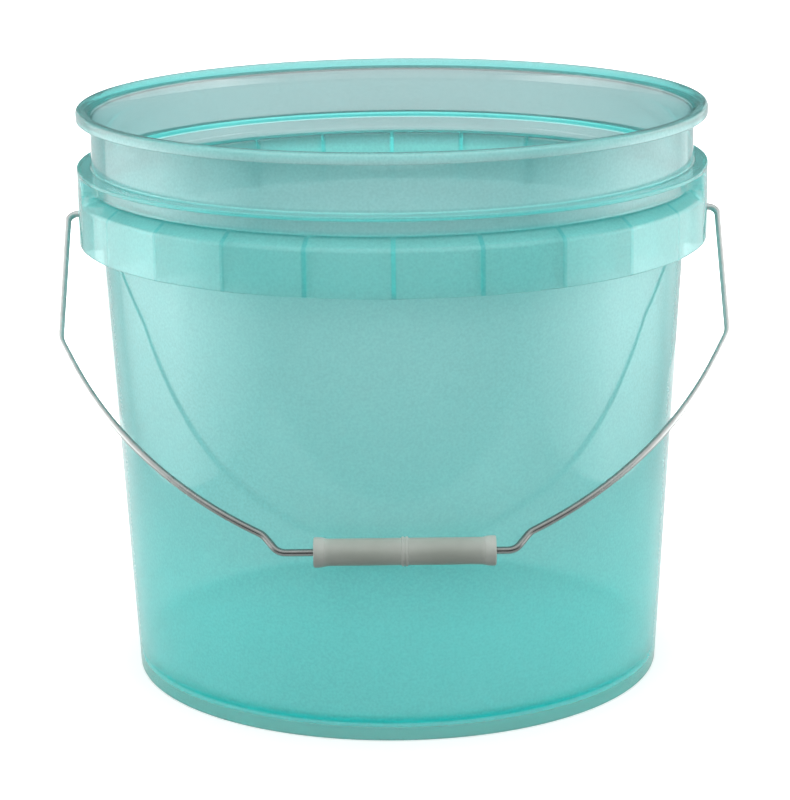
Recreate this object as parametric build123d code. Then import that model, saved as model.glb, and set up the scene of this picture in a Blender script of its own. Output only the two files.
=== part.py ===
from build123d import *
from math import asin, cos, degrees, radians, sin, tan
import os

# An open-head plastic pail with a wire bail and a tube grip.
# Millimetres and degrees. Z is up from the ground under the foot ring, the ears
# are on the X axis, and the bail hangs down in front, towards -Y.

# Body wall, floor and foot
pail_height = 283.0       # ground to the top of the lip
base_radius = 131.0       # outside of the foot ring at the ground
wall_draft = 3.18         # lean of the body wall from upright
wall = 2.2                # moulded wall
floor_thick = 2.5
foot_height = 7.8         # ground to the underside of the floor
floor_corner = 5.0        # bevel inside, where the wall meets the floor

# Neck and lip that a lid snaps over
neck_step = 2.7           # outward step from the body wall to the neck
neck_height = 28.6        # top of the lip to the top of the flange
lip_width = 6.8           # overhang of the lip beyond the neck
lip_height = 5.7
lip_wall = 2.0
lip_round = 4.0

# Collar: a thin flange, a groove, and a ribbed skirt under a sloping roof
collar_width = 7.0        # reach of the skirt beyond the neck
flange_proud = 0.6        # reach of the flange beyond the skirt
flange_thick = 2.1
groove_height = 7.7       # flange to the root of the roof
roof_fall = 5.1           # drop of the roof from the neck to the skirt
skirt_height = 22.3
skirt_wall = 2.0
rib_count = 24
rib_wall = 1.8
rib_rise = 0.8            # skirt's lower edge to the ribs' lower edge

# Ears: two rib bays closed up to the flange on each side
ear_bays = 2
boss_radius = 5.5
boss_depth = 2.0          # boss behind the skirt, round the pivot hole

# Bail: one wire, bent in a plane
wire = 3.4                # diameter
pivot_clearance = 0.3     # radial, wire in the ear's hole
arm_gap = 5.8             # skirt to the centre of the bail's arm
arm_drop = 75.0           # pivot to the kink
crown_inset = 36.4        # arm to the corner of the crown's arc
crown_drop = 149.6        # pivot to that corner
jog_half = 61.3           # half the distance between the jogs
jog_fall = 9.6            # height of the jog
seat_half = 54.2          # half the straight length under the grip
bail_drop = 194.6         # pivot to the grip's centre
elbow_bend = 5.0
kink_bend = 12.0
jog_bend = 9.0
seat_bend = 7.0
crown_fill = 0.94         # share of the shorter run that the crown's arc takes
head_radius = 3.2         # upset head that keeps the wire in the ear
head_thick = 2.0
head_gap = 0.4

# Grip: a tube that turns on the straight of the bail
grip_length = 83.6
grip_radius = 6.25
grip_flare = 6.95         # radius at both ends
flare_length = 8.0
flare_rim = 1.6           # straight rim at each end
band_radius = 6.9         # raised band at the middle
band_width = 2.8
grip_clearance = 0.35     # radial, wire in the bore
grip_shift = 3.7          # how far the grip has slid along the straight
rest_gap = 0.3            # grip to the pail's wall at rest

bite = 0.6                # how far a rib or boss runs into the wall that carries it

# Heights and radii that follow
draft = radians(wall_draft)
flange_top = pail_height - neck_height
flange_under = flange_top - flange_thick
roof_root = flange_under - groove_height
skirt_edge = roof_root - roof_fall
skirt_bottom = skirt_edge - skirt_height
pivot_height = skirt_edge - skirt_height / 2
floor_top = foot_height + floor_thick
lip_bottom = pail_height - lip_height
lip_under = pail_height - lip_wall


def wall_outside(z):
    """Outer radius of the body wall at height z."""
    return base_radius + z * tan(draft)


def wall_inside(z):
    """Inner radius of the body wall at height z."""
    return wall_outside(z) - wall / cos(draft)


neck_radius = wall_outside(roof_root) + neck_step
neck_inside = neck_radius - wall
lip_radius = neck_radius + lip_width
lip_inside = lip_radius - lip_wall
skirt_radius = neck_radius + collar_width
skirt_inside = skirt_radius - skirt_wall
flange_radius = skirt_radius + flange_proud
roof_slope = roof_fall / collar_width


def roof_under(r):
    """Height of the roof's underside at radius r."""
    return roof_root - (r - neck_radius) * roof_slope - skirt_wall * (1 + roof_slope**2) ** 0.5


roof_meets_wall = roof_under(wall_outside(roof_root))
from_base = (Align.CENTER, Align.CENTER, Align.MIN)


def section(*corners):
    """A closed face in the XZ plane, through (r, z) corners with an optional corner radius."""
    points = [(corner[0], 0, corner[1]) for corner in corners]
    bends = [corner[2] if len(corner) > 2 else 0 for corner in corners]
    return make_face(FilletPolyline(*points, radius=bends, close=True))


def around(face, start, sweep):
    """Turn a face round Z through sweep degrees, from the angle start."""
    return Rot(Z=start) * revolve(face, axis=Axis.Z, revolution_arc=sweep)


def make_shell():
    """The turned form of the moulding, from the floor to the lip, with no skirt."""
    underside = [
        (0, foot_height),
        (wall_inside(foot_height), foot_height),
        (wall_inside(0), 0),
        (base_radius, 0),
    ]
    outside = [
        (wall_outside(roof_meets_wall), roof_meets_wall),
        (neck_radius, roof_root),
        (neck_radius, flange_under),
        (flange_radius, flange_under),
        (flange_radius, flange_top),
        (neck_radius, flange_top),
    ]
    lip = [
        (neck_radius, lip_under),
        (lip_inside, lip_under),
        (lip_inside, lip_bottom),
        (lip_radius, lip_bottom),
        (lip_radius, pail_height, lip_round),
        (neck_inside, pail_height),
    ]
    inside = [
        (neck_inside, roof_root + neck_step),
        (wall_inside(roof_meets_wall), roof_meets_wall),
        (wall_inside(floor_top + floor_corner), floor_top + floor_corner),
        (wall_inside(floor_top) - floor_corner, floor_top),
        (0, floor_top),
    ]
    return revolve(section(*underside, *outside, *lip, *inside), axis=Axis.Z)


def skirt_section():
    """The skirt under its sloping roof, rooted in the neck."""
    root = neck_radius - bite
    return section(
        (root, roof_root + bite * roof_slope),
        (root, roof_under(root)),
        (skirt_inside, roof_under(skirt_inside)),
        (skirt_inside, skirt_bottom),
        (skirt_radius, skirt_bottom),
        (skirt_radius, skirt_edge),
    )


def ear_section():
    """The front of an ear: the skirt carried straight up to the flange."""
    return section(
        (skirt_inside, flange_under + bite),
        (skirt_inside, skirt_bottom),
        (skirt_radius, skirt_bottom),
        (skirt_radius, flange_under + bite),
    )


def make_rib(top_inside, top_outside):
    """A radial plate between the wall and the skirt, on the +X side."""
    bottom = skirt_bottom + rib_rise
    plate = section(
        (wall_outside(bottom) - bite, bottom),
        (skirt_inside + bite, bottom),
        (skirt_inside + bite, top_outside),
        (neck_radius - bite, top_inside),
        (neck_radius - bite, roof_root),
        (wall_outside(roof_meets_wall) - bite, roof_meets_wall),
    )
    return extrude(plate, rib_wall / 2, both=True)


def make_pail():
    """The one moulding: shell, skirt, ribs, and an ear on each side."""
    bay = 360 / rib_count
    ear_half = bay * ear_bays / 2
    short_rib = make_rib(roof_root + bite * roof_slope / 2, roof_under(skirt_inside) + bite)
    tall_rib = make_rib(flange_under + bite, flange_under + bite)
    boss_start = skirt_inside - boss_depth
    boss = Cylinder(boss_radius, boss_depth + skirt_wall / 2, align=from_base)
    boss = Pos(boss_start, 0, pivot_height) * Rot(Y=90) * boss
    hole = Cylinder(wire / 2 + pivot_clearance, boss_depth + skirt_wall + 2 * bite, align=from_base)
    hole = Pos(boss_start - bite, 0, pivot_height) * Rot(Y=90) * hole

    added = []
    for k in range(rib_count):
        from_ear = min(k * bay % 180, 180 - k * bay % 180)
        if from_ear > ear_half + bay / 2:
            added.append(Rot(Z=k * bay) * short_rib)
    for side in (0, 180):
        added.append(around(ear_section(), side - ear_half, 2 * ear_half))
        added.append(around(skirt_section(), side + ear_half, 180 - 2 * ear_half))
        added += [Rot(Z=side + turn) * tall_rib for turn in (-ear_half, ear_half)]
        added.append(Rot(Z=side) * boss)
    return make_shell() + added - [Rot(Z=side) * hole for side in (0, 180)]


# The bail leans until the grip's band lies on the pail's front wall
grip_stand = band_radius + rest_gap
bail_lean = asin((grip_stand + base_radius * cos(draft) + pivot_height * sin(draft)) / bail_drop) - draft


def on_bail(x, drop):
    """A point of the bail's plane, drop below the pivots along the lean."""
    return Vector(x, -drop * sin(bail_lean), pivot_height - drop * cos(bail_lean))


def make_bail():
    """The wire, from one upset head to the other."""
    arm = skirt_radius + arm_gap
    head_end = skirt_inside - boss_depth - head_gap - head_thick
    kink = Vector(arm, arm_drop)
    crown = Vector(arm - crown_inset, crown_drop)
    jog = Vector(jog_half, bail_drop - jog_fall)
    crown_run = min((crown - kink).length, (jog - crown).length)
    crown_turn = (crown - kink).get_angle(jog - crown)
    crown_bend = crown_fill * crown_run / tan(radians(crown_turn / 2))

    half = [Vector(head_end, 0), Vector(arm, 0), kink, crown, jog, Vector(seat_half, bail_drop)]
    bends = [elbow_bend, kink_bend, crown_bend, jog_bend, seat_bend]
    points = [on_bail(-p.X, p.Y) for p in half] + [on_bail(p.X, p.Y) for p in reversed(half)]
    path = FilletPolyline(*points, radius=bends + bends[::-1])
    bail = sweep(Plane(path @ 0, z_dir=path % 0) * Circle(wire / 2), path=path)
    head = Cylinder(head_radius, head_thick, align=from_base)
    for side in (0, 180):
        bail += Rot(Z=side) * Pos(head_end, 0, pivot_height) * Rot(Y=90) * head
    print("crown bend", round(crown_bend, 1), "wire length", round(path.length, 1))
    print("lean from straight down", round(degrees(bail_lean), 2))
    return bail


def make_grip():
    """The tube, turned about the straight of the bail."""
    bore = wire / 2 + grip_clearance
    end = grip_length / 2
    band = band_width / 2
    profile = section(
        (bore, -end),
        (grip_flare, -end),
        (grip_flare, flare_rim - end),
        (grip_radius, flare_length - end),
        (grip_radius, -band),
        (band_radius, -band),
        (band_radius, band),
        (grip_radius, band),
        (grip_radius, end - flare_length),
        (grip_flare, end - flare_rim),
        (grip_flare, end),
        (bore, end),
    )
    tube = revolve(profile, axis=Axis.Z)
    return Pos(on_bail(grip_shift, bail_drop)) * Rot(Y=90) * tube


pieces = {"pail": make_pail(), "bail": make_bail(), "grip": make_grip()}
os.makedirs("parts", exist_ok=True)
for name, piece in pieces.items():
    export_step(piece, f"parts/{name}.step")
    print(name, "volume", round(piece.volume), "solids", len(piece.solids()))
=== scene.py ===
# %% [markdown]
# # A teal plastic pail
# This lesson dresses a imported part: an open-head pail, moulded in one piece in
# translucent plastic, with a galvanised wire bail and a loose plastic grip.
# The solids come from a CAD frame that is loaded and never moved. Blender adds
# what the CAD leaves out: the small rounds on every moulded edge, and the finishes.

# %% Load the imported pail
import math
import bmesh
import bpy
from mathutils import Matrix, Vector


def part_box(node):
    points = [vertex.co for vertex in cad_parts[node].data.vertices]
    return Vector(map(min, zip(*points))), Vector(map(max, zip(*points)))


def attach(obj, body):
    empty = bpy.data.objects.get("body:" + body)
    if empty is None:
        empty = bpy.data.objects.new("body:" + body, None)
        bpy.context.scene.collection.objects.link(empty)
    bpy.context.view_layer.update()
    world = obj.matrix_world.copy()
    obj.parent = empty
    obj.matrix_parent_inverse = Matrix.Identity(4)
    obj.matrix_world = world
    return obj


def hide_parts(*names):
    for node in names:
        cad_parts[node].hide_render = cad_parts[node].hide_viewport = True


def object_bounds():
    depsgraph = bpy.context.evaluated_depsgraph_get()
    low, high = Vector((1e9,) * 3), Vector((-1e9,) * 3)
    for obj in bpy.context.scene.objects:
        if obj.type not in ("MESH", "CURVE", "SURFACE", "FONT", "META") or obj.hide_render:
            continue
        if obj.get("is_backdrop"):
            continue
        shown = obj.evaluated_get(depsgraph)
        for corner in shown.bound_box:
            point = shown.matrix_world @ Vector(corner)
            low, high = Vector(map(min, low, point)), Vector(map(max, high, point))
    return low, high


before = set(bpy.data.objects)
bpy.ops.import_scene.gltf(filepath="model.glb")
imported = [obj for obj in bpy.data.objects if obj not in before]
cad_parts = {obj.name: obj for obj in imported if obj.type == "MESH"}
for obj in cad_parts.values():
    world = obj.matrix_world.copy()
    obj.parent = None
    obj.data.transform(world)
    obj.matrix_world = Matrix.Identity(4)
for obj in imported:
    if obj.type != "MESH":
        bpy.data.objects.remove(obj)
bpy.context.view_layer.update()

# %% [markdown]
# Two helpers serve every finish. Colours are written as the hex values that a
# colour picker shows, so one function turns them into the linear light that
# shaders work in. The other adds a node to a tree. Each of its inputs is a plain
# value, an output of an earlier node, or an earlier node, whose first live output
# is then meant. A colour ramp also gets its stops. A whole finish can then be read
# from top to bottom, as a list of steps.

# %% Colours and nodes
def linear(hex_colour):
    """Turn an sRGB hex colour into linear RGBA."""
    channels = [int(hex_colour[i:i + 2], 16) / 255 for i in (1, 3, 5)]
    return [c / 12.92 if c <= 0.04045 else ((c + 0.055) / 1.055) ** 2.4 for c in channels] + [1.0]


def add(tree, kind, inputs=None, stops=None, **settings):
    """Add a node, set its settings, fill or link its inputs, and place a ramp's colour stops."""
    node = tree.nodes.new("ShaderNode" + kind)
    for name, value in settings.items():
        setattr(node, name, value)
    for name, value in (inputs or {}).items():
        if isinstance(value, bpy.types.Node):
            value = next(output for output in value.outputs if output.enabled)
        if isinstance(value, bpy.types.NodeSocket):
            tree.links.new(value, node.inputs[name])
        else:
            node.inputs[name].default_value = value
    if stops:
        ramp = node.color_ramp.elements
        ramp.remove(ramp[1])
        ramp[0].position, ramp[0].color = stops[0]
        for position, colour in stops[1:]:
            ramp.new(position).color = colour
    return node


def empty_material(name):
    """A new material with nothing in its node tree, and that tree."""
    material = bpy.data.materials.new(name)
    material.use_nodes = True
    material.node_tree.nodes.clear()
    return material, material.node_tree


print("middle grey in linear light:", round(linear("#808080")[0], 3))

# %% [markdown]
# The pail is one injection moulding, a shell about 2 mm thick all over: a floor in
# a foot ring, a tapered wall, a neck with a lip for a lid, and a collar with ribs
# behind it. The CAD mesh could be bevelled, but bevels break where thin ribs meet.
# So the moulding is drawn again, from the same sizes as the CAD solid.

# %% Sizes of the moulding, in millimetres
mm = 0.001                # one millimetre in Blender's metres

pail_height = 283.0
base_radius = 131.0       # outside of the foot ring at the ground
wall_lean = math.tan(math.radians(3.18))
wall = 2.2
floor_thick = 2.5
foot_height = 7.8         # ground to the underside of the floor

neck_step = 2.7           # outward step from the wall to the neck
neck_height = 28.6        # flange to the top of the lip
lip_width = 6.8           # reach of the lip beyond the neck
lip_height = 5.7
lip_wall = 2.0

collar_width = 7.0        # reach of the skirt beyond the neck
flange_proud = 0.6        # reach of the flange beyond the skirt
flange_thick = 2.1
groove_height = 7.7       # flange to the root of the roof
roof_fall = 5.1           # drop of the roof from the neck to the skirt
skirt_height = 22.3
skirt_wall = 2.0
rib_rise = 0.8            # skirt's lower edge to the ribs' lower edge

floor_top = foot_height + floor_thick
flange_top = pail_height - neck_height
flange_under = flange_top - flange_thick
roof_root = flange_under - groove_height
skirt_edge = roof_root - roof_fall
skirt_bottom = skirt_edge - skirt_height
rib_bottom = skirt_bottom + rib_rise
pivot_height = skirt_edge - skirt_height / 2
lip_bottom = pail_height - lip_height


def outside(z):
    """Outer radius of the tapered wall at height z."""
    return base_radius + z * wall_lean


def inside(z):
    """Inner radius of the tapered wall at height z."""
    return outside(z) - wall * math.hypot(1, wall_lean)


neck_radius = outside(roof_root) + neck_step
neck_inside = neck_radius - wall
lip_radius = neck_radius + lip_width
lip_inside = lip_radius - lip_wall
skirt_radius = neck_radius + collar_width
skirt_inside = skirt_radius - skirt_wall
flange_radius = skirt_radius + flange_proud
roof_slope = roof_fall / collar_width


def roof_under(r):
    """Height of the roof's underside at radius r."""
    return roof_root - (r - neck_radius) * roof_slope - skirt_wall * math.hypot(1, roof_slope)


roof_meets_wall = roof_under(outside(roof_root))
print("neck, lip and skirt radius:", [round(r, 2) for r in (neck_radius, lip_radius, skirt_radius)])

# %% [markdown]
# A mould maker rounds every edge, because sharp ones tear, and on glossy plastic
# these rounds catch the light as thin bright lines. So the profile is a list of
# corners, each with how far its round reaches and in how many steps. A rational
# quadratic curve whose middle weight is the cosine of half the turn is an exact
# arc, so the rounds are true ones. At the top, the neck's inside rolls out into
# the lip in three gentle bends.

# %% The profile at one place round the axis
edge_round = 0.7          # free outer edges
thin_round = 0.5          # edges of thin walls
inner_round = 0.9         # inner corners
foot_round = 1.2          # under the floor, where the foot ring starts
hem_round = 0.6           # lower edge of the skirt
bead_round = 0.8          # lower edge and hollow of the lip
roof_round = 1.6          # where the roof turns down into the skirt
neck_round = 1.5          # inside, at the step from the wall to the neck
floor_round = 6.0         # inside, where the wall meets the floor
lip_round = 4.0           # top of the lip, outside
lip_thick = 4.0           # top of the lip to the hollow under it
lip_roll = [(4.4, 0.3, 1.4), (1.6, 2.6, 1.6), (0.0, 9.0, 2.8)]  # beyond the neck, down, round


def along(start, end, share):
    """The point that lies a share of the way from start to end."""
    return tuple(a + (b - a) * share for a, b in zip(start, end))


def rounded(corners):
    """Points along a line of (r, z, reach, steps) corners, each one turned into an arc."""
    points = [corners[0][:2]]
    for before, here, after in zip(corners, corners[1:], corners[2:]):
        corner, reach, steps = Vector(here[:2]), here[2], here[3]
        back = Vector(before[:2]) - corner
        ahead = Vector(after[:2]) - corner
        reach = min(reach, 0.45 * back.length, 0.45 * ahead.length)
        start = corner + back.normalized() * reach
        end = corner + ahead.normalized() * reach
        weight = math.sin(back.angle(ahead) / 2)
        for i in range(steps + 1):
            t = i / steps
            a, b, c = (1 - t) ** 2, 2 * t * (1 - t) * weight, t * t
            points.append(tuple((start * a + corner * b + end * c) / (a + b + c)))
    return points + [corners[-1][:2]]


def moulding_profile(hollow, fill):
    """The pail's profile over a bay, an ear or a rib, with the groove filled out by a share."""
    heel = (outside(rib_bottom), rib_bottom)
    hem = (skirt_inside, rib_bottom)
    root = (outside(roof_meets_wall), roof_meets_wall)
    eave = (skirt_inside, roof_under(skirt_inside))
    hollows = {
        "bay": [root, along(root, eave, 1 / 3), along(root, eave, 2 / 3), eave],
        "ear": [root, (neck_radius, roof_root), (neck_radius, flange_under), (skirt_inside, flange_under)],
        "rib": [along(heel, hem, share) for share in (0.2, 0.4, 0.6, 0.8)],
    }
    groove = neck_radius + collar_width * fill
    brim = flange_radius - (flange_proud - 0.05) * fill
    corners = [
        (0, foot_height, 0, 1),
        (inside(foot_height), foot_height, foot_round, 3),
        (inside(0), 0, thin_round, 3),
        (base_radius, 0, edge_round, 3),
        (*heel, inner_round, 3),
        *[(*point, inner_round, 3) for point in hollows[hollow]],
        (*hem, inner_round, 3),
        (skirt_inside, skirt_bottom, thin_round, 3),
        (skirt_radius, skirt_bottom, hem_round, 3),
        (skirt_radius, skirt_edge, roof_round, 4),
        (groove, roof_root, inner_round, 3),
        (groove, flange_under, inner_round, 3),
        (brim, flange_under, thin_round, 3),
        (brim, flange_top, edge_round, 3),
        (neck_radius, flange_top, inner_round, 3),
        (neck_radius, pail_height - lip_thick, inner_round, 3),
        (lip_inside, pail_height - lip_thick, bead_round, 4),
        (lip_inside, lip_bottom, thin_round, 3),
        (lip_radius, lip_bottom, bead_round, 3),
        (lip_radius, pail_height, lip_round, 8),
        *[(neck_inside + out, pail_height - down, reach, 4) for out, down, reach in lip_roll],
        (neck_inside, roof_root + neck_step, neck_round, 3),
        (inside(roof_meets_wall), roof_meets_wall, neck_round, 3),
        (inside(floor_top), floor_top, floor_round, 8),
        (0, floor_top, 0, 1),
    ]
    return rounded(corners)


print("points on a profile:", len(moulding_profile("bay", 0.0)))

# %% [markdown]
# A plain pot could be one profile spun round the axis, but the collar changes on
# its way round: open bays, ribs, and two ears closed up to the flange. So the pail
# is lofted: the profile is drawn again at each step round the axis, always with the
# same number of points, and where a rib stands its hollow is pulled flat. A rib is
# three such steps, and a hair's breadth beside it the open bay starts, so its sides
# come out as clean radial faces. The ears lie on the X axis and take two bays each,
# with a rib at both ends and none in the middle.

# %% Steps round the axis
rib_count = 24
rib_wall = 1.8            # mm
rib_side = 0.02           # degrees from a rib's face to the open bay
bay_steps = 16
bay = 360 / rib_count
ear_half = bay
rib_half = math.degrees(rib_wall / 2 / neck_radius)


def from_ear(angle):
    """Degrees round the axis from the middle of the nearest ear."""
    return min(angle % 180, 180 - angle % 180)


def loft_steps():
    """The angles round the axis, each with the kind of hollow under the collar."""
    steps = []
    for k in range(rib_count):
        at = k * bay
        before, after = ("ear" if from_ear(at + turn) < ear_half else "bay" for turn in (-bay / 2, bay / 2))
        first = at
        if from_ear(at) == 0:
            steps.append((at, "ear"))
        else:
            first = at + rib_half + rib_side
            steps += [(at - rib_half - rib_side, before), (at - rib_half, "rib")]
            steps += [(at, "rib"), (at + rib_half, "rib"), (first, after)]
        last = at + bay - (0 if from_ear(at + bay) == 0 else rib_half + rib_side)
        steps += [(first + (last - first) * i / bay_steps, after) for i in range(1, bay_steps)]
    return steps


print("steps round the axis:", len(loft_steps()))

# %% [markdown]
# On the real pail the skirt is a little flat between its ribs, so each bay takes the
# light in one tone and breaks at the rib. The loft pulls the skirt in by a fifth of
# what a straight bay would need. At an ear the groove ends against a steep side, so
# there the profile's groove fills out within three degrees, along a smooth step.

# %% Loft the moulding
rib_proud = 0.2           # mm by which the skirt stands out at a rib
bay_flatness = 0.2        # 0 is round, 1 is flat from rib to rib
side_starts, side_ends = 17.6, 14.6  # an ear's side, in degrees from its middle


def flat_bay(angle):
    """Scale of the skirt's radius that flattens each bay between its ribs."""
    if from_ear(angle) < ear_half:
        return 1.0
    off_middle = math.radians(angle % bay - bay / 2)
    sag = 1 - math.cos(math.radians(bay / 2)) / math.cos(off_middle)
    return 1 + rib_proud / skirt_radius - bay_flatness * sag


def groove_fill(angle):
    """0 along the open groove and 1 at an ear, with a smooth step between them."""
    share = min(1.0, max(0.0, (side_starts - from_ear(angle)) / (side_starts - side_ends)))
    return share * share * (3 - 2 * share)


def loft(name, steps):
    """One closed skin through the profiles at all the steps."""
    skin = bmesh.new()
    rings = []
    for angle, hollow in steps:
        x, y = math.cos(math.radians(angle)), math.sin(math.radians(angle))
        ring = []
        for r, z in moulding_profile(hollow, groove_fill(angle)):
            if skirt_bottom - 1 < z < flange_under - 1 and r > neck_radius:
                r *= 1 + (flat_bay(angle) - 1) * min(1, (r - neck_radius) / collar_width)
            ring.append(skin.verts.new((r * x * mm, r * y * mm, z * mm)))
        rings.append(ring)
    for here, ahead in zip(rings, rings[1:] + rings[:1]):
        for i in range(len(here) - 1):
            skin.faces.new((here[i], here[i + 1], ahead[i + 1], ahead[i]))
    on_axis = [vert for ring in rings for vert in (ring[0], ring[-1])]
    bmesh.ops.remove_doubles(skin, verts=on_axis, dist=1e-6)
    bmesh.ops.dissolve_degenerate(skin, dist=1e-7, edges=skin.edges)
    bmesh.ops.recalc_face_normals(skin, faces=skin.faces)
    mesh = bpy.data.meshes.new(name)
    skin.to_mesh(mesh)
    skin.free()
    return mesh


pail_mesh = loft("pail_moulding", loft_steps())
print("faces of the moulding:", len(pail_mesh.polygons))

# %% [markdown]
# Behind each ear stands a short boss, with a hole through it for the wire. These cut
# across the loft's lines, so they are made with Booleans: a rounded boss is joined
# on, and a round drill is taken away. The result is kept as a plain mesh.

# %% Bosses and pivot holes
boss_radius = 5.5
boss_depth = 2.0
hole_radius = 2.0         # 0.3 mm of room round the wire


def turned(name, profile, to_world, sides=96):
    """Spin (along, radius) points about X, close the ends, and place the result."""
    skin = bmesh.new()
    rings = []
    for x, radius in profile:
        turns = [2 * math.pi * i / sides for i in range(sides)]
        places = [Vector((x, radius * math.cos(t), radius * math.sin(t))) * mm for t in turns]
        rings.append([skin.verts.new(to_world @ place) for place in places])
    for here, ahead in zip(rings, rings[1:]):
        for i in range(sides):
            skin.faces.new((here[i], here[i - 1], ahead[i - 1], ahead[i]))
    if profile[0] == profile[-1]:
        bmesh.ops.remove_doubles(skin, verts=rings[0] + rings[-1], dist=1e-7)
    else:
        skin.faces.new(rings[0])
        skin.faces.new(rings[-1])
    bmesh.ops.recalc_face_normals(skin, faces=skin.faces)
    mesh = bpy.data.meshes.new(name)
    skin.to_mesh(mesh)
    skin.free()
    return bpy.data.objects.new(name, mesh)


def with_modifiers(carrier):
    """The carrier's mesh with its modifiers applied."""
    return bpy.data.meshes.new_from_object(carrier.evaluated_get(bpy.context.evaluated_depsgraph_get()))


def cut_ears(mesh):
    """Join the bosses to the moulding, then drill the pivot holes."""
    body = bpy.data.objects.new("pail_moulding", mesh)
    bpy.context.collection.objects.link(body)
    start = skirt_inside - boss_depth
    boss = [(start, boss_radius - 0.6), (start + 0.2, boss_radius - 0.2),
            (start + 0.6, boss_radius), (skirt_inside + 1.0, boss_radius)]
    drill = [(start - 1.0, hole_radius), (skirt_radius + 1.0, hole_radius)]
    tools = []
    for operation, profile in (("UNION", boss), ("DIFFERENCE", drill)):
        for side in (0, math.pi):
            place = Matrix.Rotation(side, 4, "Z") @ Matrix.Translation((0, 0, pivot_height * mm))
            tool = turned("ear_tool", profile, place)
            bpy.context.collection.objects.link(tool)
            cut = body.modifiers.new("ear", "BOOLEAN")
            cut.operation, cut.object, cut.solver = operation, tool, "EXACT"
            tools.append(tool)
    made = with_modifiers(body)
    for item in tools + [body]:
        bpy.data.objects.remove(item)
    return made


pail_mesh = cut_ears(pail_mesh)
print("pail after the ears:", len(pail_mesh.polygons), "faces")

# %% [markdown]
# Plain smooth shading bends the light across a broad face to meet the small rounds
# beside it, which shows on glossy plastic as dents. Weighted normals let the broad
# faces keep their own direction, so only the rounds turn. The finished mesh then
# stands in for the CAD pail: it replaces that node and rides on its body.

# %% Even shading, and the pail in its place
def smooth(mesh, angle):
    """Shade smooth, creased where faces meet at more than the angle, with broad faces kept flat."""
    mesh.shade_smooth()
    mesh.set_sharp_from_angle(angle=math.radians(angle))
    carrier = bpy.data.objects.new("carrier", mesh)
    bpy.context.collection.objects.link(carrier)
    even = carrier.modifiers.new("even", "WEIGHTED_NORMAL")
    even.keep_sharp = True
    made = with_modifiers(carrier)
    bpy.data.objects.remove(carrier)
    return made


pail_mesh = smooth(pail_mesh, 40)
pail_moulding = bpy.data.objects.new("pail_moulding", pail_mesh)
bpy.context.collection.objects.link(pail_moulding)
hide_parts("pail")
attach(pail_moulding, "pail")
print("pail points:", len(pail_mesh.vertices))

# %% [markdown]
# The grip is a short moulded tube, loose on the wire. It has a fine step before each
# flared end, a raised band of two rings at its middle, and a bore with room for the
# wire. A lathe form like this is turned from one closed profile, and the two halves
# are alike, so only one half is written down. Its corners are rounded as before.

# %% The grip
grip_low, grip_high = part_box("grip")
grip_centre = (grip_low + grip_high) / 2
grip_half = (grip_high.x - grip_low.x) / 2 / mm
grip_bore, grip_radius, band_dip, band_radius, flare_radius = 2.05, 6.25, 6.45, 6.9, 6.95
half_line = [
    (0.4, band_dip, 0.2), (0.5, band_radius, 0.3), (1.4, band_radius, 0.3), (1.6, grip_radius, 0.3),
    (grip_half - 7.2, grip_radius, 2.0), (grip_half - 5.4, 6.4, 0.3), (grip_half - 5.1, 6.6, 0.3),
    (grip_half - 2.8, flare_radius, 0.6), (grip_half, flare_radius, 0.8), (grip_half, grip_bore, 0.5)]
other_half = [(-x, r, reach) for x, r, reach in reversed(half_line)]
in_bore = (0.0, grip_bore, 0.0)
grip_line = rounded([(*corner, 4) for corner in (in_bore, *other_half, *half_line, in_bore)])
grip_tube = turned("grip_tube", grip_line, Matrix.Translation(grip_centre))
bpy.context.collection.objects.link(grip_tube)
grip_tube.data = smooth(grip_tube.data, 50)
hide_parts("grip")
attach(grip_tube, "grip")
print("grip faces:", len(grip_tube.data.polygons))

# %% [markdown]
# The pail is polypropylene with a teal dye, injection moulded in a polished mould.
# The plastic is milky: it takes red out of the light, the more the thicker it is,
# and lets green and blue through. So one wall looks pale, and the collar, with a
# wall behind it, looks deep. The finish has to know where a point lies on the pail,
# and the object's own coordinates tell it: the height, and the distance from the axis.

# %% Teal polypropylene: where a point lies
teal_polypropylene, tree = empty_material("moulded_teal_polypropylene")
place = add(tree, "TexCoord")
axes = add(tree, "SeparateXYZ", {"Vector": place.outputs["Object"]})
on_ground = add(tree, "VectorMath", {0: place.outputs["Object"], 1: (1, 1, 0)}, operation="MULTIPLY")
from_axis = add(tree, "VectorMath", {0: on_ground}, operation="LENGTH")
print("pail finish:", teal_polypropylene.name)

# %% [markdown]
# How deep the teal looks follows the plastic that the light crosses, with all its
# turns inside a flange or a floor edge, which would take more bounces than a render
# has. On a turned form that thickness goes with the height, so a colour ramp from the
# ground to the lip gives each zone its own tint. The thick places, which are the floor's
# edge, the flange and the root of the roof, are the deepest. The neck is pale. Four
# zones are painted light and shade: the foot ring is painted darker, as shade from the
# hollow under the floor; the flange's top face and the rim's rounded top are painted
# darker, as shade against the light from above; and the lip is painted paler, as light
# that fills the shade of the narrow gap behind it.

# %% Teal polypropylene: the tint of each height
# foot is painted shade: the foot ring is darkened for the dark hollow under the floor behind it.
foot, base, low, body = linear("#40d6ca"), linear("#30ffff"), linear("#b2faf8"), linear("#bce5e4")
# deck is painted shade: the flange's upward face is darkened against the light from above.
collar, thick, deck = linear("#b9f7f5"), linear("#76e2e0"), linear("#aae8e6")
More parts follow.
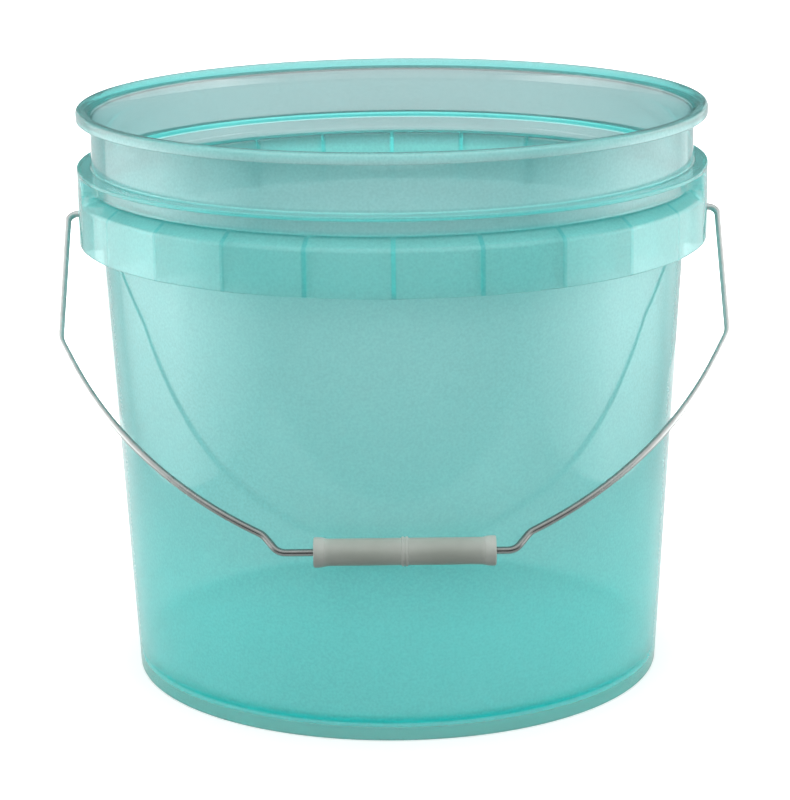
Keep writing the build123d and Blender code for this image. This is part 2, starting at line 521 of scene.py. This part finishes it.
# crest is painted shade: the rim's rounded top is darkened against the light from above.
# lip is painted light: the lip is paler, to fill the shade of the narrow gap behind it.
neck, lip, crest = linear("#c8ffff"), linear("#e6ffff"), linear("#5a9492")
zones = [
    (0.0, foot), (foot_height - 0.5, foot),
    (foot_height, base), (floor_top + 0.4, base),
    (floor_top + 1.2, low), (55.0, low),
    (110.0, body), (skirt_bottom - 1.0, body),
    (skirt_bottom, collar), (roof_root - 1.4, collar),
    (roof_root - 0.8, thick), (roof_root + 0.5, thick),
    (roof_root + 1.0, neck), (flange_under - 0.4, neck),
    (flange_under, thick), (flange_top - 0.5, thick),
    (flange_top - 0.2, deck), (flange_top + 1.2, deck),
    (flange_top + 1.6, neck), (lip_bottom - 0.4, neck),
    (lip_bottom, lip), (pail_height - 0.7, lip),
    (pail_height - 0.1, crest)]
height = add(tree, "MapRange", {"Value": axes.outputs["Z"], "From Max": pail_height * mm})
tint = add(tree, "ValToRGB", {"Fac": height}, stops=[(z / pail_height, colour) for z, colour in zones])
print("stops from ground to lip:", len(zones))

# %% [markdown]
# Height alone can't tell the roof from the neck behind it, or the lip's inner roll
# from its front, so two masks compare the distance from the axis as well. The ribs
# show through the skirt as deeper lines. Their mask takes the angle round the axis,
# folds it back and forth over each bay, and keeps what is near a rib.

# %% Teal polypropylene: roof, roll and ribs
off_neck = add(tree, "Math", {0: from_axis, 1: (neck_radius + 2.4) * mm}, operation="GREATER_THAN")
at_root = add(tree, "Math", {0: axes.outputs["Z"], 1: roof_root * mm, 2: 2.2 * mm}, operation="COMPARE")
on_roof = add(tree, "Math", {0: off_neck, 1: at_root}, operation="MULTIPLY")
tint = add(tree, "Mix", {"Factor": on_roof, "A": tint, "B": collar}, data_type="RGBA")

# painted shade: the lip's inner roll takes the crest's dark tint, against the light from above.
at_lip = add(tree, "Math", {0: axes.outputs["Z"], 1: lip_bottom * mm}, operation="GREATER_THAN")
in_lip = add(tree, "Math", {0: from_axis, 1: (lip_radius - 3.2) * mm}, operation="LESS_THAN")
on_roll = add(tree, "Math", {0: at_lip, 1: in_lip}, operation="MULTIPLY")
tint = add(tree, "Mix", {"Factor": on_roll, "A": tint, "B": crest}, data_type="RGBA")

turn = add(tree, "Math", {0: axes.outputs["Y"], 1: axes.outputs["X"]}, operation="ARCTAN2")
off_rib = add(tree, "Math", {0: turn, 1: math.radians(bay / 2)}, operation="PINGPONG")
off_rib = add(tree, "Math", {0: off_rib, 1: from_axis}, operation="MULTIPLY")
on_rib = add(tree, "MapRange", {
    "Value": off_rib, "From Min": 0.8 * mm, "From Max": 1.5 * mm, "To Min": 1.0, "To Max": 0.0})
collar_middle, collar_half = (roof_root + skirt_bottom) / 2 * mm, (roof_root - skirt_bottom) / 2 * mm
in_collar = add(tree, "Math", {0: axes.outputs["Z"], 1: collar_middle, 2: collar_half}, operation="COMPARE")
off_ear = add(tree, "Math", {0: axes.outputs["Y"]}, operation="ABSOLUTE")
off_ear = add(tree, "Math", {0: off_ear, 1: 20 * mm}, operation="GREATER_THAN")
on_rib = add(tree, "Math", {0: on_rib, 1: in_collar}, operation="MULTIPLY")
on_rib = add(tree, "Math", {0: on_rib, 1: off_ear}, operation="MULTIPLY")
tint = add(tree, "Mix", {"Factor": on_rib, "A": tint, "B": linear("#90e8e6")}, data_type="RGBA")
print("ribs every", bay, "degrees")

# %% [markdown]
# The inside of the neck is painted greyer and lets less through than the outside.
# This is painted shade for the dimmer light inside the pail and behind it. One mask
# finds that side, and leaves out the height of the flange, where the plastic is thick.

# %% Teal polypropylene: painted shade inside the neck
core_side = add(tree, "Math", {0: from_axis, 1: (neck_radius - wall / 2) * mm}, operation="LESS_THAN")
in_neck = add(tree, "MapRange", {
    "Value": axes.outputs["Z"], "From Min": (roof_root - 8) * mm, "From Max": (roof_root + 1) * mm})
inner_shade = add(tree, "Math", {0: core_side, 1: in_neck}, operation="MULTIPLY")
flange_middle = (flange_under + flange_top) / 2 * mm
in_flange = add(tree, "Math", {0: axes.outputs["Z"], 1: flange_middle, 2: 1.4 * mm}, operation="COMPARE")
inner_shade = add(tree, "Math", {0: inner_shade, 1: in_flange}, operation="SUBTRACT", use_clamp=True)
# painted shade: the inside of the neck is greyed here, and below its clear part lets less through.
grey = add(tree, "Mix", {"Factor": inner_shade, "A": linear("#ffffff"), "B": linear("#b3a0a2")}, data_type="RGBA")
tint = add(tree, "Mix", {"Factor": 1.0, "A": tint, "B": grey}, data_type="RGBA", blend_type="MULTIPLY")
clear_tint = add(tree, "Mix", {
    "Factor": inner_shade, "A": linear("#f6f6f6"), "B": linear("#cabebf")}, data_type="RGBA")
print("satin from", round(roof_root - 8), "mm up")

# %% [markdown]
# Two patterns break the even colour. The melt leaves soft clouds, about 60 mm across,
# where it flowed, and the pigment a fine grain. Both are noise that darkens the tint
# a little. One function does that, because the wire and the grip need it too.

# %% Teal polypropylene: flow and grain
flow_cloud = 60 * mm
pigment_grain = 1.2 * mm  # real grains are far below a pixel, so they are drawn this coarse to show


def mottled(tree, tint, noise, dark):
    """Multiply a tint by a grey that goes with the noise, from dark to white."""
    grey = add(tree, "ValToRGB", {"Fac": noise}, stops=[(0.3, linear(dark)), (0.7, linear("#ffffff"))])
    return add(tree, "Mix", {"Factor": 1.0, "A": tint, "B": grey}, data_type="RGBA", blend_type="MULTIPLY")


flow = add(tree, "TexNoise", {"Vector": place.outputs["Object"], "Scale": 1 / flow_cloud, "Detail": 3.0})
tint = mottled(tree, tint, flow, "#fafafa")
grain = add(tree, "TexNoise", {"Vector": place.outputs["Object"], "Scale": 1 / pigment_grain, "Detail": 1.0})
tint = mottled(tree, tint, grain, "#f2f2f2")
print("clouds and grain in mm:", flow_cloud / mm, pigment_grain / mm)

# %% [markdown]
# A milky plastic could be a volume full of scattering, but that takes long to render
# and stays noisy. Three shaders give the same eye: a milky one that scatters light back,
# a translucent one that glows with the light from behind, and a clear one that lets
# the far wall show. Inside, the dye absorbs red. The clear part's IOR is low, so
# that a thin wall doesn't bend the view or turn white at its edge, and the gloss comes
# from a coat with the real IOR of polypropylene, 1.49.

# %% Teal polypropylene: milk, glow and clear
# A polished mould gives the eye clear, sharp reflections over a soft milky depth.
gloss = {"Coat Weight": 1.0, "Coat Roughness": 0.03, "Coat IOR": 1.49}
milk = add(tree, "BsdfPrincipled", {"Base Color": tint, "Roughness": 0.3, "Specular IOR Level": 0.0, **gloss})
clear = add(tree, "BsdfPrincipled", {
    "Base Color": clear_tint, "Roughness": 0.07, "IOR": 1.12, "Transmission Weight": 1.0, **gloss})
glow = add(tree, "BsdfTranslucent", {"Color": tint})
milk = add(tree, "MixShader", {0: 0.5, 1: milk, 2: glow})
plastic = add(tree, "MixShader", {0: 0.57, 1: milk, 2: clear})
dye = add(tree, "VolumeAbsorption", {"Color": (0.0, 0.97, 0.95, 1.0), "Density": 130.0})
add(tree, "OutputMaterial", {"Surface": plastic, "Volume": dye})
pail_mesh.materials.clear()
pail_mesh.materials.append(teal_polypropylene)
print("nodes in the plastic:", len(tree.nodes))

# %% [markdown]
# The bail is drawn steel wire with a skin of zinc. The CAD wire already has the true
# bends, so it only gets a finish. The zinc is pale and dull on the arms. Lower down,
# towards the grip, it is smoother and painted darker: a painted reflection of the dark
# front of the tent, which the crown faces. Its crystals, the spangle, are a few
# millimetres wide, and they shift both the tone and the roughness a little.

# %% Galvanised drawn wire
# A zinc skin gives the eye a soft metal grey with no sharp reflections.
galvanised_wire, tree = empty_material("galvanised_drawn_wire")
spangle_size = 4 * mm
shaded_below, lit_above = 0.11, 0.18  # heights in metres
place = add(tree, "TexCoord")
axes = add(tree, "SeparateXYZ", {"Vector": place.outputs["Object"]})
spangle = add(tree, "TexNoise", {"Vector": place.outputs["Object"], "Scale": 1 / spangle_size, "Detail": 4.0})
# painted reflection: the zinc is darker below 0.18 m, where the crown mirrors the dark front.
lit_share = add(tree, "MapRange", {"Value": axes.outputs["Z"], "From Min": shaded_below, "From Max": lit_above})
zinc = add(tree, "Mix", {"Factor": lit_share, "A": linear("#8e9290"), "B": linear("#cfd3d1")}, data_type="RGBA")
zinc = mottled(tree, zinc, spangle, "#eeeeee")
dull = add(tree, "MapRange", {"Value": lit_share, "To Min": 0.24, "To Max": 0.42})
uneven = add(tree, "MapRange", {"Value": spangle, "To Min": -0.05, "To Max": 0.05})
rough = add(tree, "Math", {0: dull, 1: uneven})
metal = add(tree, "BsdfPrincipled", {"Base Color": zinc, "Metallic": 1.0, "Roughness": rough})
add(tree, "OutputMaterial", {"Surface": metal})

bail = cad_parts["bail"]
bail.data.materials.clear()
bail.data.materials.append(galvanised_wire)
print("bail finish:", bail.data.materials[0].name)

# %% [markdown]
# The grip is undyed polyethylene from a fine-blasted mould: off-white and waxy. A ramp
# along its length makes it darker between the band and the ends, and a soft noise
# smudges it. The blasted skin is a slight bump.

# %% Blasted natural polyethylene
# A blasted mould gives the eye a soft sheen and no clear reflections.
natural_polyethylene, tree = empty_material("blasted_natural_polyethylene")
smudge_size = 12 * mm
blast_grit = 0.6 * mm     # real grit is finer, and is drawn this coarse to show
place = add(tree, "TexCoord")
axes = add(tree, "SeparateXYZ", {"Vector": place.outputs["Object"]})
off_band = add(tree, "Math", {0: axes.outputs["X"], 1: grip_centre.x}, operation="SUBTRACT")
off_band = add(tree, "Math", {0: off_band}, operation="ABSOLUTE")
reach = add(tree, "MapRange", {"Value": off_band, "From Max": grip_half * mm})
# darker between the band and the ends, paler at the band and the rims.
pale_tone, mid_tone, dark_tone = linear("#b6bcb5"), linear("#aab1a9"), linear("#a2aaa1")
tone_along = [(0.0, pale_tone), (1.4, pale_tone), (2.2, mid_tone), (12.0, dark_tone), (grip_half - 18.0, dark_tone),
        (grip_half - 7.0, mid_tone), (grip_half - 4.5, pale_tone), (grip_half, pale_tone)]
tint = add(tree, "ValToRGB", {"Fac": reach}, stops=[(x / grip_half, colour) for x, colour in tone_along])
smudge = add(tree, "TexNoise", {"Vector": place.outputs["Object"], "Scale": 1 / smudge_size, "Detail": 5.0})
tint = mottled(tree, tint, smudge, "#f0f0f0")
grit = add(tree, "TexNoise", {"Vector": place.outputs["Object"], "Scale": 1 / blast_grit, "Detail": 2.0})
skin = add(tree, "Bump", {"Height": grit, "Strength": 0.15, "Distance": 0.1 * mm})
wax = add(tree, "BsdfPrincipled", {"Base Color": tint, "Roughness": 0.45, "IOR": 1.51, "Normal": skin})
add(tree, "OutputMaterial", {"Surface": wax})
grip_tube.data.materials.append(natural_polyethylene)
print("grip finish:", grip_tube.data.materials[0].name)

# %% [markdown]
# The studio is a white tent. Its floor has to look plain white and still hold the
# pail's soft shadow, without more light on the pail. So the floor is a grey that
# glows only where it is looked at: to the camera, through the plastic, and half as
# much in reflections. Away from the pail, the camera sees it glow as pure white.

# %% The white floor
floor_half = 8.0
floor_glow = 0.46
shadow_reach, white_reach = 0.2, 0.32  # metres from the axis
floor_mesh = bpy.data.meshes.new("studio_floor")
floor_corners = [(-floor_half, -floor_half, 0), (floor_half, -floor_half, 0),
                 (floor_half, floor_half, 0), (-floor_half, floor_half, 0)]
floor_mesh.from_pydata(floor_corners, [], [(0, 1, 2, 3)])
studio_floor = bpy.data.objects.new("studio_floor", floor_mesh)
bpy.context.collection.objects.link(studio_floor)
studio_floor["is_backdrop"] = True

white_floor, tree = empty_material("white_tent_floor")
path = add(tree, "LightPath")
mirrored = add(tree, "Math", {0: path.outputs["Is Glossy Ray"], 1: 0.5}, operation="MULTIPLY")
seen = add(tree, "Math", {0: path.outputs["Is Camera Ray"], 1: mirrored}, operation="MAXIMUM")
seen = add(tree, "Math", {0: seen, 1: path.outputs["Is Transmission Ray"]}, operation="MAXIMUM")
shade = add(tree, "Mix", {"Factor": seen, "A": linear("#c6c6c6"), "B": linear("#dcdcdc")}, data_type="RGBA")
paper = add(tree, "BsdfDiffuse", {"Color": shade})
lift = add(tree, "Math", {0: seen, 1: floor_glow}, operation="MULTIPLY")
spot = add(tree, "NewGeometry")
reach = add(tree, "VectorMath", {0: spot.outputs["Position"]}, operation="LENGTH")
far = add(tree, "MapRange", {
    "Value": reach, "From Min": shadow_reach, "From Max": white_reach, "To Min": floor_glow, "To Max": 1.0})
far = add(tree, "Math", {0: path.outputs["Is Camera Ray"], 1: far}, operation="MULTIPLY")
lift = add(tree, "Math", {0: lift, 1: far}, operation="MAXIMUM")
glow = add(tree, "Emission", {"Color": linear("#ffffff"), "Strength": lift})
both = add(tree, "AddShader", {0: paper, 1: glow})
add(tree, "OutputMaterial", {"Surface": both})
floor_mesh.materials.append(white_floor)
print("floor:", 2 * floor_half, "m square")

# %% [markdown]
# On each side stands a lit panel of tent fabric. Glossy plastic shows it as a broad
# sheen that fades towards the front, and its back edge as a line near the outline.
# Real fabric would light the pail as strongly as it shines in it, but here the sheen
# has to be bright and the colour plain, so the panel is strong to glossy rays only.
# The right panel reaches further back, which makes the band at that outline narrower.

# %% The side panels
panel_x, panel_top = 0.41, 0.42
panel_front, panel_bright, panel_back = -0.42, -0.06, 0.255
panel_ends = {-1: panel_back, 1: 0.45}
panel_level, panel_shine = 0.45, 4.2


def card(name, start, end, top, cloth):
    """An upright card between two (x, y) places on the floor, which the camera doesn't see."""
    corners = [(*start, 0.0), (*end, 0.0), (*end, top), (*start, top)]
    mesh = bpy.data.meshes.new(name)
    mesh.from_pydata(corners, [], [(0, 1, 2, 3)])
    mesh.materials.append(cloth)
    made = bpy.data.objects.new(name, mesh)
    bpy.context.collection.objects.link(made)
    made.visible_camera = False
    made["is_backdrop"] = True
    return made


fabric, tree = empty_material("lit_tent_fabric")
spot = add(tree, "NewGeometry")
axes = add(tree, "SeparateXYZ", {"Vector": spot.outputs["Position"]})
backward = add(tree, "MapRange", {"Value": axes.outputs["Y"], "From Min": panel_front, "From Max": panel_back})
bright_share = (panel_bright - panel_front) / (panel_back - panel_front)
levels = [(0.0, 0.02), (0.2, 0.33), (bright_share, 1.0), (1.0, 0.32)]
spread = add(tree, "ValToRGB", {"Fac": backward}, stops=[(at, (v, v, v, 1)) for at, v in levels])
rise = add(tree, "MapRange", {"Value": axes.outputs["Z"], "From Max": 0.16, "To Min": 0.55, "To Max": 1.1})
path = add(tree, "LightPath")
gain = add(tree, "MapRange", {
    "Value": path.outputs["Is Glossy Ray"], "To Min": panel_level, "To Max": panel_shine})
level = add(tree, "Math", {0: rise, 1: gain}, operation="MULTIPLY")
shine = add(tree, "Emission", {"Color": spread, "Strength": level})
add(tree, "OutputMaterial", {"Surface": shine})
for side, end in panel_ends.items():
    card("tent_panel", (side * panel_x, panel_front), (side * panel_x, end), panel_top, fabric)
print("panels at", panel_x, "m")

# %% [markdown]
# Behind each panel a grey flag slants in, and the outline of the pail mirrors it as
# the darker band that the eye expects on a clear tub. It is there for reflections alone.
# The front of the tent is a cloth, dark at the bottom, so that the wire keeps its dark
# core, and paler above, where it lights the neck and the upper wall.

# %% The flags and the front
flag_cloth, tree = empty_material("grey_flag_cloth")
dim = add(tree, "Emission", {"Strength": 0.8})
add(tree, "OutputMaterial", {"Surface": dim})
for side, end in panel_ends.items():
    flag = card("grey_flag", (side * panel_x, end), (side * 0.28, end + 0.2), panel_top, flag_cloth)
    flag.visible_diffuse = flag.visible_transmission = flag.visible_shadow = False

front_cloth, tree = empty_material("dark_front_cloth")
spot = add(tree, "NewGeometry")
axes = add(tree, "SeparateXYZ", {"Vector": spot.outputs["Position"]})
light = add(tree, "MapRange", {
    "Value": axes.outputs["Z"], "From Min": 0.15, "From Max": 0.3, "To Min": 0.05, "To Max": 1.4})
sheen = add(tree, "MapRange", {
    "Value": axes.outputs["Z"], "From Min": 0.15, "From Max": 0.22, "To Min": 0.05, "To Max": 0.9})
path = add(tree, "LightPath")
level = add(tree, "MapRange", {"Value": path.outputs["Is Glossy Ray"], "To Min": light, "To Max": sheen})
dark = add(tree, "Emission", {"Strength": level})
add(tree, "OutputMaterial", {"Surface": dark})
card("dark_front", (-panel_x, panel_front), (panel_x, panel_front), 0.45, front_cloth)
print("front cloth at", panel_front, "m")

# %% [markdown]
# The room is the world's background: pale overhead, a little light from behind, and a
# hood of light above the camera, which brings out the surfaces that face it. It is
# halved in reflections, so the gloss stays soft. Where the camera looks at the room,
# or through the plastic at it, a strength of 1 makes it plain white.

# %% The room
room = bpy.data.worlds.new("white_room")
bpy.context.scene.world = room
room.use_nodes = True
tree = room.node_tree
tree.nodes.clear()
place = add(tree, "TexCoord")
axes = add(tree, "SeparateXYZ", {"Vector": place.outputs["Generated"]})
above = add(tree, "MapRange", {
    "Value": axes.outputs["Z"], "From Min": 0.2, "From Max": 0.9, "To Min": 0.25, "To Max": 1.8})
behind = add(tree, "MapRange", {
    "Value": axes.outputs["Y"], "From Min": -0.3, "From Max": 0.6, "To Min": 0.0, "To Max": 0.1})
before = add(tree, "MapRange", {
    "Value": axes.outputs["Y"], "From Min": -0.1, "From Max": -0.5, "To Min": 0.0, "To Max": 1.6})
aloft = add(tree, "MapRange", {"Value": axes.outputs["Z"], "From Min": 0.35, "From Max": 0.6})
hood = add(tree, "Math", {0: before, 1: aloft}, operation="MULTIPLY")
level = add(tree, "Math", {0: above, 1: behind})
level = add(tree, "Math", {0: level, 1: hood})
path = add(tree, "LightPath")
gain = add(tree, "MapRange", {"Value": path.outputs["Is Glossy Ray"], "To Min": 1.0, "To Max": 0.5})
level = add(tree, "Math", {0: level, 1: gain}, operation="MULTIPLY")
seen = add(tree, "Math", {
    0: path.outputs["Is Camera Ray"], 1: path.outputs["Is Transmission Ray"]}, operation="MAXIMUM")
level = add(tree, "Mix", {"Factor": seen, "A": level, "B": 1.0}, data_type="FLOAT")
air = add(tree, "Background", {"Color": linear("#ffffff"), "Strength": level})
add(tree, "OutputWorld", {"Surface": air})
print("room:", room.name)

# %% [markdown]
# The camera was fitted to the ellipses of the pail's rim, collar and foot: a long
# lens, half a metre up, looking down a little, with a slight roll. Its focal length is
# known in pixels, so the lens in millimetres follows from the width of the image. The
# camera's axes are worked out as vectors, which is clearer than Euler angles when
# a roll comes last.

# %% The camera
image_width = 790
focal_pixels = 2926.87
camera_place = Vector((0.0, -1.42226, 0.4978))
pitch, roll = math.radians(14.439), math.radians(0.671)
right = Vector((1, 0, 0))
forward = Vector((0, math.cos(pitch), -math.sin(pitch)))
up = right.cross(forward)
image_x = right * math.cos(roll) - up * math.sin(roll)
image_y = right * math.sin(roll) + up * math.cos(roll)

lens = bpy.data.cameras.new("long_lens")
lens.sensor_fit, lens.sensor_width = "HORIZONTAL", 36.0
lens.lens = focal_pixels * lens.sensor_width / image_width
camera = bpy.data.objects.new("camera", lens)
bpy.context.collection.objects.link(camera)
camera_axes = Matrix((image_x, image_y, -forward)).transposed().to_4x4()
camera.matrix_world = Matrix.Translation(camera_place) @ camera_axes
bpy.context.scene.camera = camera
bpy.context.scene.view_settings.view_transform = "Standard"
print("lens in mm:", round(lens.lens, 1))

# %% [markdown]
# Last, the box round the dressed pail, its bail and its grip is printed in millimetres.

# %% Measure and finish
low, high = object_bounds()
print("visual box in mm:", [round(1000 * v, 1) for v in (*low, *high)])
